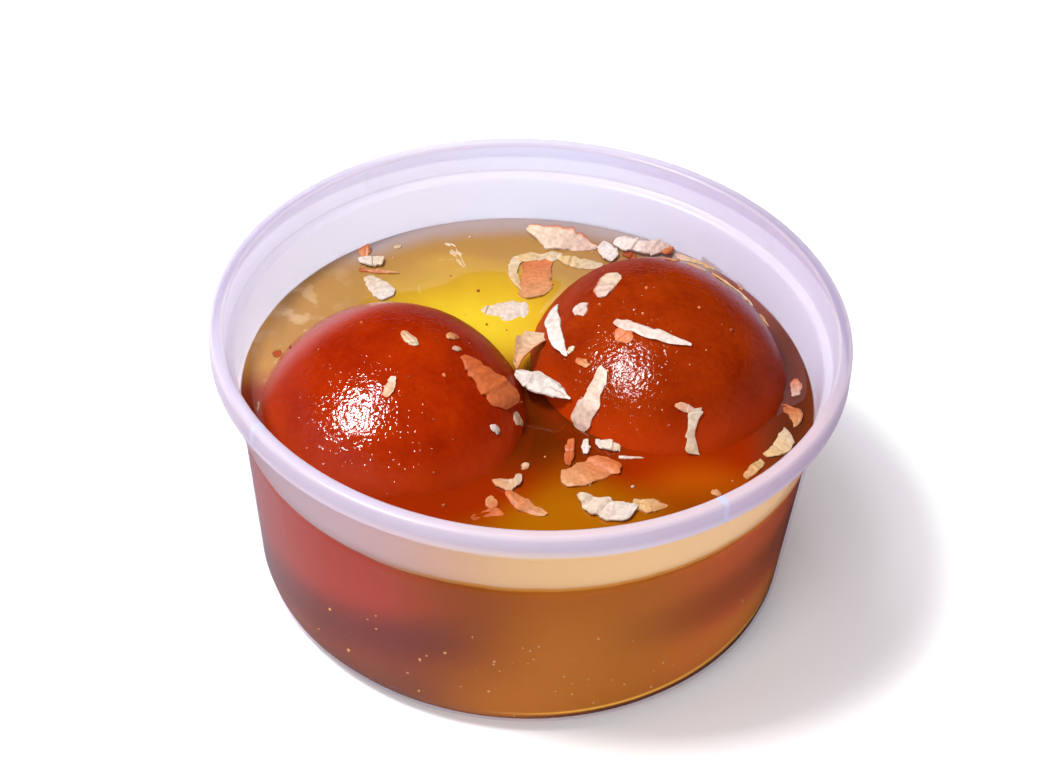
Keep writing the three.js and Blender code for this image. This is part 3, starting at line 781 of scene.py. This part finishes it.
def patch_on_ball(ball, azimuth, rise_angle):
    """A map from a flat patch (east, up the ball, off the skin) onto a ball's skin."""
    azimuth, rise_angle = math.radians(azimuth), math.radians(rise_angle)
    out = np.array(
        [
            math.cos(rise_angle) * math.cos(azimuth),
            math.cos(rise_angle) * math.sin(azimuth),
            math.sin(rise_angle),
        ]
    )
    east = np.array([-math.sin(azimuth), math.cos(azimuth), 0.0])
    north = np.cross(out, east)
    reach = ball_radius(ball, out)

    def place(x, y, rise):
        way = out * reach + east * x[..., None] + north * y[..., None]
        way /= np.linalg.norm(way, axis=-1, keepdims=True)
        return way * (ball_radius(ball, way) + rise)[..., None] + np.array(ball["centre"])

    return place


def level_patch(x0, y0, z0=SYRUP_LEVEL):
    """A map from a flat patch onto a level plane, the syrup's if no height is given."""
    return lambda x, y, rise: np.stack([x0 + x, y0 + y, z0 + rise], axis=-1)


def flake_surface(place, seed, turn, length, widths, bend=0.0, lean=0.0, pitch=0.0, cup=0.0, lift=0.15):
    """A thin plate along a bent line. Its half width runs through the widths, a little narrower at
    both ends, and its edges are jagged by random corners and frayed by a finer zigzag. It rises
    along its length by the pitch, across it by the lean and to both edges by the cup, and fibres
    make its top uneven."""
    random = np.random.default_rng(seed)
    t = np.linspace(0, 1, FLAKE_STATIONS)[:, None]
    across, above = FLAKE_SECTION.T[:, None, :]
    count = 5 + int(0.8 * length)
    corners = np.sort(np.append(random.uniform(0.04, 0.96, count - 2), (0, 1)))
    jag = [np.interp(t, corners, random.uniform(-1, 1, count)) for _ in range(4)]
    fray = [np.interp(t, np.linspace(0, 1, 15), random.uniform(-1, 1, 15)) for _ in range(2)]
    half = np.interp(t, np.linspace(0, 1, len(widths)), widths) / 2 * (1 - 0.25 * np.abs(2 * t - 1) ** 12)
    edge = np.where(across > 0, jag[0], jag[1]) * (0.04 + 0.2 * half)
    edge = (edge + np.where(across > 0, fray[0], fray[1]) * (0.03 + 0.06 * half)) * np.abs(across)
    side = across * (half + edge)
    slant = random.uniform(-0.5, 0.5, 2)
    along = (t - 0.5) * length + side * (slant[0] * (1 - t) + slant[1] * t)
    aside = side + bend * length * (4 * (t - 0.5) ** 2 - 0.5)
    fibre = random.uniform(-0.25, 0.25, (1, len(FLAKE_SECTION))) + 0.25 * jag[2]
    thick = FLAKE_THICKNESS / 2 * np.minimum(1, 0.36 + 0.5 * half) * (1 - 0.45 * np.abs(2 * t - 1) ** 4)
    rise = lift + thick * (above + fibre * (above > 0)) + 0.2 * jag[3] * np.minimum(half, 1)
    rise = rise + pitch * along + lean * (side + half * np.sign(lean)) + cup * side**2 / half.max()
    turn = math.radians(turn)
    x = along * math.cos(turn) - aside * math.sin(turn)
    y = along * math.sin(turn) + aside * math.cos(turn)
    rows = [np.vstack([v[:1].mean() + 0 * v[:1], v, v[-1:].mean() + 0 * v[-1:]]) for v in (x, y, rise)]
    return place(*rows).reshape(-1, 3), t, across


def flakes_mesh(name, flakes, patch, first_seed):
    """All flakes of one kind as one mesh with the colour of each point: from a flake's first colour
    to its second, mottled, and brown along the edge that kept its skin."""
    points, faces, colours = [], [], []
    sides = len(FLAKE_SECTION)
    strip = grid_faces(FLAKE_STATIONS + 2, sides)
    for number, one in enumerate(flakes):
        where, t, across = flake_surface(patch(*one["at"]), first_seed + number, **one["shape"])
        faces.append(strip + sum(len(p) for p in points))
        points.append(where)
        first, second = (np.array(linear(colour)) for colour in one["colours"])
        t = np.vstack([t[:1], t, t[-1:]])[:, :, None]
        tone = first * (1 - t) + second * t + 0 * across[..., None]
        kept = np.clip(across * one["skin"] * 4 - 3, 0, 1)[..., None]
        tone = tone * (1 - kept) + np.array(linear(SKIN)) * kept
        mottle = np.random.default_rng(first_seed - number).uniform(0.86, 1.1, tone.shape[:2] + (1,))
        colours.append((tone * mottle).reshape(-1, 4))
    made = mesh_piece(name, np.vstack(points), np.vstack(faces), {"flake_colour": np.vstack(colours)})
    made.data.set_sharp_from_angle(angle=math.radians(32))
    return made


# Raw almond flesh, cut by a knife: matt to waxy, with fine fibres.
almond, end = new_material("almond_flesh_knife_cut")
own = add(almond, "Attribute", attribute_name="flake_colour").outputs["Color"]
place = add(almond, "TexCoord").outputs["Object"]
grain = noise(almond, place, 0.7, 4.0)
shade = {"Value": grain, "From Min": 0.3, "From Max": 0.7, "To Min": 0.74, "To Max": 1.08}
shade = add(almond, "MapRange", shade).outputs[0]
tinted = add(almond, "VectorMath", {0: own, "Scale": shade}, operation="SCALE").outputs[0]
relief = add(almond, "Bump", {"Height": grain, "Distance": 0.08 * MM, "Strength": 0.7}).outputs[0]
waxy = {"Base Color": tinted, "Roughness": 0.5, "IOR": 1.46, "Specular IOR Level": 0.25, "Normal": relief}
flesh = add(almond, "BsdfPrincipled", waxy).outputs[0]
almond.node_tree.links.new(flesh, end.inputs["Surface"])


def grains_mesh(name, centres, sizes, colours, seed):
    """One mesh of icosahedra at the centres, each with its own size and its corners pushed in or
    out at random."""
    random = np.random.default_rng(seed)
    gold = (1 + math.sqrt(5)) / 2
    ring = [(s, t * gold) for s in (-1, 1) for t in (-1, 1)]
    corner = [(0, s, t) for s, t in ring] + [(s, t, 0) for s, t in ring] + [(t, 0, s) for s, t in ring]
    corner = np.array(corner) / math.hypot(1, gold)
    gap = np.linalg.norm(corner[:, None] - corner[None, :], axis=2)
    side = gap[gap > 0.1].min() * 1.01
    touching = (gap > 0.1) & (gap < side)
    faces = [
        (a, b, c)
        for a in range(12)
        for b in range(a + 1, 12)
        for c in range(b + 1, 12)
        if touching[a, b] and touching[b, c] and touching[a, c]
    ]
    push = random.uniform(0.7, 1.25, (len(centres), 12, 1))
    points = centres[:, None] + corner[None] * push * sizes[:, None, None]
    strip = np.array(faces)[None] + 12 * np.arange(len(centres))[:, None, None]
    tones = {"flake_colour": np.repeat(colours, 12, axis=0)}
    return mesh_piece(name, points.reshape(-1, 3), strip.reshape(-1, 3), tones)


def crumb_places(count, seed):
    """Random places for crumbs: on the upper skin of each ball in turn, then on open syrup."""
    random = np.random.default_rng(seed)
    places = []
    for ball in BALLS:
        turn = random.uniform(0, 2 * np.pi, count)
        rise = np.arcsin(random.uniform(0.38, 0.99, count))
        out = np.stack([np.cos(rise) * np.cos(turn), np.cos(rise) * np.sin(turn), np.sin(rise)], axis=1)
        places.append(out * ball_radius(ball, out)[:, None] + np.array(ball["centre"]))
    spread = random.uniform(-CRUMB_RADIUS - 1, CRUMB_RADIUS + 1, (12 * count, 2))
    x, y = spread[np.hypot(*spread.T) < CRUMB_RADIUS].T
    free = np.min([off_ball(ball, x, y, SYRUP_LEVEL) for ball in BALLS], axis=0) > 0.8
    x, y = x[free][: 2 * count], y[free][: 2 * count]
    places.append(np.stack([x, y, SYRUP_LEVEL + random.uniform(-0.05, 0.08, len(x))], axis=1))
    return np.vstack(places)


flake_groups = (
    ("left", LEFT_FLAKES, lambda *at: patch_on_ball(LEFT_BALL, *at), 11, "jamun_left"),
    ("right", RIGHT_FLAKES, lambda *at: patch_on_ball(RIGHT_BALL, *at), 31, "jamun_right"),
    ("gap", GAP_FLAKES, level_patch, 51, "jamun_right"),
    ("afloat", FLOATING_FLAKES, level_patch, 61, "syrup"),
)
for group, flakes, patch, first_seed, node in flake_groups:
    piece = flakes_mesh("almond_flakes_" + group, flakes, patch, first_seed)
    piece.data.materials.append(almond)
    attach(piece, "root")
    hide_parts(node)

crumb_at = crumb_places(CRUMBS, 5)
draw = np.random.default_rng(7)
crumb_tones = np.array([linear(tone) for tone in (PINKISH, TAN, ORANGE, SKIN, RUST)])
crumb_tones = crumb_tones[draw.integers(0, 5, len(crumb_at))]
crumb_sizes = 0.1 + 0.3 * draw.uniform(0, 1, len(crumb_at)) ** 2
crumbs = grains_mesh("almond_crumbs", crumb_at, crumb_sizes, crumb_tones, 8)
crumbs.data.materials.append(almond)
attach(crumbs, "root")

# ---------------------------------------------------------------- bubbles
# Small air bubbles that clung to the wall when the syrup was poured, most of them low down in front,
# where they show as golden specks.

BUBBLES = 56
BUBBLES_FACE = -80  # degrees round the tub from +x, and their spread
BUBBLES_SPREAD = 24
BUBBLES_LOWEST = 3.0
BUBBLES_RANGE = 21  # from the lowest to the highest
bubble, end = new_material("air_bubble_in_syrup")
shine = add(bubble, "BsdfPrincipled", {"Base Color": "#C09058", "Roughness": 0.12, "IOR": 1.33}).outputs[0]
bubble.node_tree.links.new(shine, end.inputs["Surface"])
draw = np.random.default_rng(23)
bubble_turn = np.radians(draw.normal(BUBBLES_FACE, BUBBLES_SPREAD, BUBBLES))
bubble_height = BUBBLES_LOWEST + BUBBLES_RANGE * draw.beta(1.5, 2.0, BUBBLES)
bubble_reach = inside_radius(bubble_height) + 0.1
bubble_at = np.stack(
    [bubble_reach * np.cos(bubble_turn), bubble_reach * np.sin(bubble_turn), bubble_height], axis=1
)
bubble_sizes = 0.14 + 0.18 * draw.uniform(0, 1, BUBBLES) ** 2
bubbles = grains_mesh("syrup_bubbles", bubble_at, bubble_sizes, np.ones((BUBBLES, 4)), 24)
bubbles.data.materials.append(bubble)
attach(bubbles, "root")

# ---------------------------------------------------------------- studio
# A white table, a soft light above the left, weak fills and an even white surround, seen from the
# front and above with a long lens. A card beside the light shows only in glossy surfaces, where it
# widens the glints. The table's and lamps' sizes and distance are in metres.

TABLE_HALF = 1.5
table_material, end = new_material("white_painted_board")
ray = add(table_material, "LightPath").outputs
lit = blend(table_material, ray["Is Diffuse Ray"], "#3C3A40", "#A8A6AE")
tone = blend(table_material, ray["Is Camera Ray"], lit, "#FAFAFB")
paint = add(table_material, "BsdfPrincipled", {"Base Color": tone, "Roughness": 0.6}).outputs[0]
table_material.node_tree.links.new(paint, end.inputs["Surface"])
corners = [(-1, -1, 0), (1, -1, 0), (1, 1, 0), (-1, 1, 0)]
table_mesh = bpy.data.meshes.new("table")
table_mesh.from_pydata([tuple(TABLE_HALF * c for c in corner) for corner in corners], [], [(0, 1, 2, 3)])
table = bpy.data.objects.new("table", table_mesh)
bpy.context.scene.collection.objects.link(table)
table_mesh.materials.append(table_material)

SCREEN_WIDTH = 1040
FOCAL_PIXELS = 2632.5
SENSOR = 36.0
CAMERA_TARGET = Vector((-1.25, 0.0, 32.7)) * MM
CAMERA_DISTANCE = 410.27 * MM
CAMERA_ELEVATION = math.radians(39.85)
CAMERA_ROLL = math.radians(2.96)
back = Vector((0, -math.cos(CAMERA_ELEVATION), math.sin(CAMERA_ELEVATION)))
level_up = Vector((0, math.sin(CAMERA_ELEVATION), math.cos(CAMERA_ELEVATION)))
level_right = Vector((1, 0, 0))
camera_right = math.cos(CAMERA_ROLL) * level_right + math.sin(CAMERA_ROLL) * level_up
camera_up = math.cos(CAMERA_ROLL) * level_up - math.sin(CAMERA_ROLL) * level_right
camera = bpy.data.objects.new("camera", bpy.data.cameras.new("camera"))
camera.data.sensor_width = SENSOR
camera.data.lens = FOCAL_PIXELS / SCREEN_WIDTH * SENSOR
camera.data.clip_start = 0.01
turned = Matrix((camera_right, camera_up, back)).transposed().to_4x4()
camera.matrix_world = Matrix.Translation(CAMERA_TARGET + CAMERA_DISTANCE * back) @ turned
bpy.context.scene.collection.objects.link(camera)
bpy.context.scene.camera = camera


LAMP_DISTANCE = 0.9
FILL_SIZE = 0.8


def soft_light(name, direction, size, watts):
    """A square lamp that looks at the tub's mouth from a direction."""
    lamp = bpy.data.objects.new(name, bpy.data.lights.new(name, "AREA"))
    lamp.data.size = size
    lamp.data.energy = watts
    way = Vector(direction).normalized()
    lamp.location = way * LAMP_DISTANCE + Vector((0, 0, SYRUP_LEVEL * MM))
    lamp.rotation_euler = way.to_track_quat("Z", "Y").to_euler()
    bpy.context.scene.collection.objects.link(lamp)
    return lamp


soft_light("key_light", (-0.42, -0.10, 0.90), 0.22, 9.5)
fill_lights = (
    ("back_left_fill", (-0.6, 0.5, 0.6), 4.0),
    ("front_fill", (-0.25, -0.85, 0.45), 7.4),
    ("right_fill", (0.8, -0.45, 0.4), 1.5),
)
for name, direction, watts in fill_lights:
    fill = soft_light(name, direction, FILL_SIZE, watts)
    fill.visible_glossy = False
    fill.visible_transmission = False
card = soft_light("glint_card", (-0.50, -0.20, 0.84), 0.3, 18.0)
card.visible_diffuse = False
card.visible_transmission = False
world = bpy.data.worlds.new("white_room")
world.use_nodes = True
world.node_tree.nodes["Background"].inputs["Color"].default_value = linear("#F6F4FC")
world.node_tree.nodes["Background"].inputs["Strength"].default_value = 0.27
world.cycles_visibility.glossy = False
bpy.context.scene.world = world
bpy.context.scene.view_settings.view_transform = "Standard"
bpy.context.scene.cycles.transparent_max_bounces = 32
bpy.context.scene.cycles.sample_clamp_indirect = 0.0
